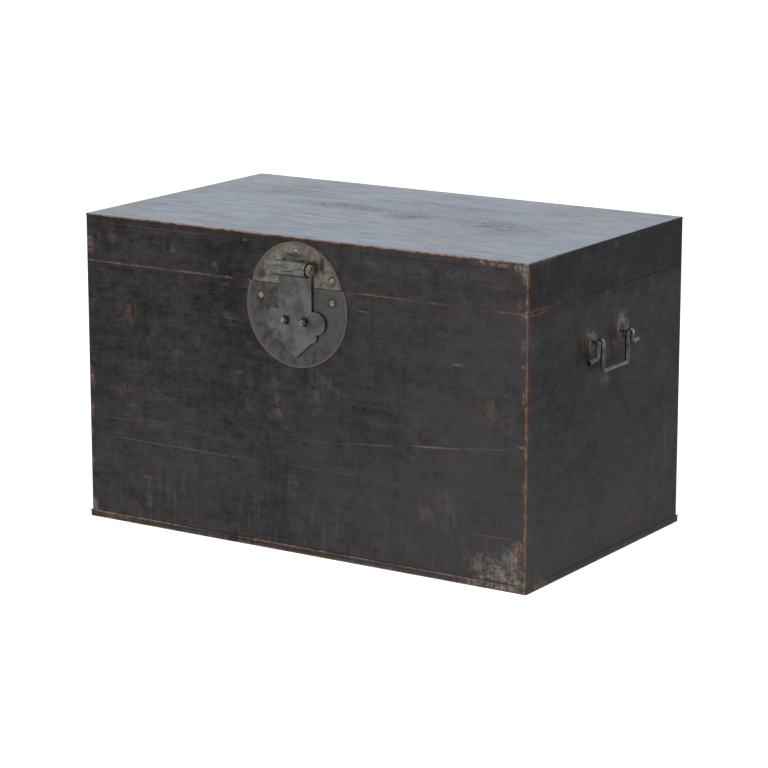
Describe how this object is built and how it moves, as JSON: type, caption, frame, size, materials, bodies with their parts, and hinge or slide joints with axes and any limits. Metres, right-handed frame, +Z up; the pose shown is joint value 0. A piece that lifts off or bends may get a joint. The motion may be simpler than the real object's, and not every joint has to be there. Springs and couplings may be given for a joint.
{
  "type": "lidded wooden trunk",
  "caption": "Lidded wooden trunk with dovetailed plank walls, round lock plates, a swinging hasp over two lock eyes, back hinges and a bail handle on each end.",
  "frame": {"origin": "centre of the underside of the base board, on the surface that the trunk stands on", "axes": "+X to the trunk's right end as seen from the front, +Y to the back, +Z up; the lock is on the -Y face"},
  "size_m": [0.7888, 0.4798, 0.459],
  "materials": {
    "lacquered_wood": "worn dark lacquer",
    "bare_wood": "bare hardwood pegs",
    "aged_brass": "dull grey patina",
    "wrought_iron": "forged, dull and rusty in places"
  },
  "bodies": {
    "case": {"base_panel": "lacquered_wood", "front_plank_lower": "lacquered_wood", "front_plank_upper": "lacquered_wood", "back_plank_lower": "lacquered_wood", "back_plank_upper": "lacquered_wood", "left_plank_lower": "lacquered_wood", "left_plank_upper": "lacquered_wood", "right_plank_lower": "lacquered_wood", "right_plank_upper": "lacquered_wood", "plank_dowels": "bare_wood", "base_pegs": "bare_wood", "lower_lock_plate": "aged_brass", "lower_plate_nails": "aged_brass", "lock_eye_left": "aged_brass", "lock_eye_right": "aged_brass", "left_bail_eye_front": "wrought_iron", "left_bail_eye_rear": "wrought_iron", "right_bail_eye_front": "wrought_iron", "right_bail_eye_rear": "wrought_iron", "hinge_case_leaf_left": "wrought_iron", "hinge_case_leaf_right": "wrought_iron", "hinge_pin_left": "wrought_iron", "hinge_pin_right": "wrought_iron", "hinge_case_nails": "wrought_iron"},
    "lid": {"lid_front_rim": "lacquered_wood", "lid_back_rim": "lacquered_wood", "lid_left_rim": "lacquered_wood", "lid_right_rim": "lacquered_wood", "lid_top_panel": "lacquered_wood", "lid_top_pegs": "bare_wood", "upper_lock_plate": "aged_brass", "upper_plate_nails": "aged_brass", "hasp_pivot_pin": "wrought_iron", "hinge_lid_leaf_left": "wrought_iron", "hinge_lid_leaf_right": "wrought_iron", "hinge_lid_nails": "wrought_iron"},
    "hasp": {"hasp": "aged_brass"},
    "left_bail": {"left_bail": "wrought_iron"},
    "right_bail": {"right_bail": "wrought_iron"}
  },
  "joints": [
    {"name": "lid_hinge", "type": "hinge", "parent": "case", "child": "lid", "pos_m": [0, 0.2283, 0.3898], "axis": [-1, 0, 0], "range_deg": [0, 105]},
    {"name": "hasp_hinge", "type": "hinge", "parent": "lid", "child": "hasp", "pos_m": [0, -0.2355, 0.416], "axis": [-1, 0, 0], "range_deg": [0, 180]},
    {"name": "left_bail_swing", "type": "hinge", "parent": "case", "child": "left_bail", "pos_m": [-0.387, 0, 0.321], "axis": [0, 1, 0], "range_deg": [-10, 190]},
    {"name": "right_bail_swing", "type": "hinge", "parent": "case", "child": "right_bail", "pos_m": [0.387, 0, 0.321], "axis": [0, -1, 0], "range_deg": [-10, 190]}
  ]
}
